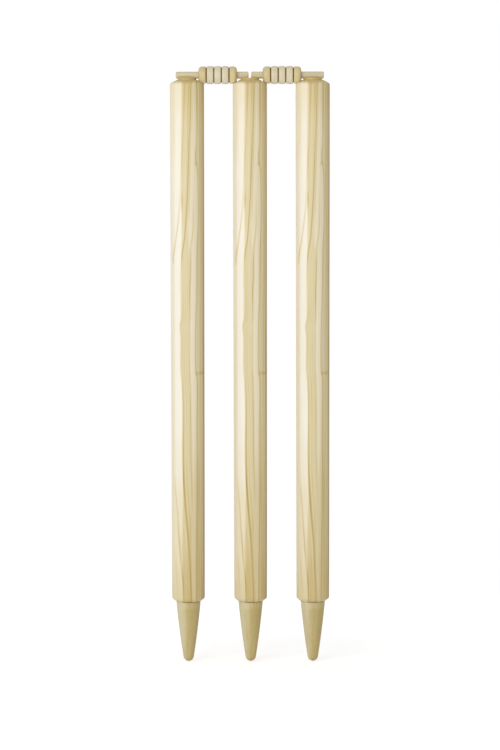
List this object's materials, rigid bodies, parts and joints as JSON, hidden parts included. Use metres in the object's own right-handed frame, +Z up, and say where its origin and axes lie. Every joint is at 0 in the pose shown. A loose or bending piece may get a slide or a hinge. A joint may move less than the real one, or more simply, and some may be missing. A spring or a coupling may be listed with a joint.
{
  "type": "cricket stumps",
  "caption": "Wooden cricket wicket: round domed stumps with tapered points in a row, and beaded bails resting in shallow grooves across their tops.",
  "frame": {"origin": "on the middle stump's axis at the ground line, level with the foot of the shafts", "axes": "+Z up along the stumps, +X along the wicket towards the right stump, +Y away from the picture's viewer"},
  "size_m": [0.2158, 0.0462, 0.8091],
  "materials": {
    "shaft_wood": "satin turned wood with long golden growth lines",
    "point_wood": "satin turned wood, darker, with soft grain",
    "spindle_wood": "satin turned wood with grain along the bail",
    "end_bead_wood": "satin turned wood, yellower",
    "middle_bead_wood": "satin turned wood, paler"
  },
  "bodies": {
    "middle_stump": {"middle_stump_shaft": "shaft_wood", "middle_stump_point": "point_wood"},
    "left_stump": {"left_stump_shaft": "shaft_wood", "left_stump_point": "point_wood"},
    "right_stump": {"right_stump_shaft": "shaft_wood", "right_stump_point": "point_wood"},
    "left_bail": {"left_bail_spindle": "spindle_wood", "left_bail_inner_end_bead": "end_bead_wood", "left_bail_middle_bead_1": "middle_bead_wood", "left_bail_middle_bead_2": "middle_bead_wood", "left_bail_middle_bead_3": "middle_bead_wood", "left_bail_outer_end_bead": "end_bead_wood"},
    "right_bail": {"right_bail_spindle": "spindle_wood", "right_bail_inner_end_bead": "end_bead_wood", "right_bail_middle_bead_1": "middle_bead_wood", "right_bail_middle_bead_2": "middle_bead_wood", "right_bail_middle_bead_3": "middle_bead_wood", "right_bail_outer_end_bead": "end_bead_wood"}
  },
  "joints": [
    {"name": "left_stump_draw", "type": "slide", "parent": "middle_stump", "child": "left_stump", "axis": [0, 0, 1], "range_m": [0, 0.1]},
    {"name": "left_bail_lift", "type": "slide", "parent": "left_stump", "child": "left_bail", "axis": [0, 0, 1], "range_m": [0, 0.04]},
    {"name": "right_stump_draw", "type": "slide", "parent": "middle_stump", "child": "right_stump", "axis": [0, 0, 1], "range_m": [0, 0.1]},
    {"name": "right_bail_lift", "type": "slide", "parent": "right_stump", "child": "right_bail", "axis": [0, 0, 1], "range_m": [0, 0.04]}
  ]
}
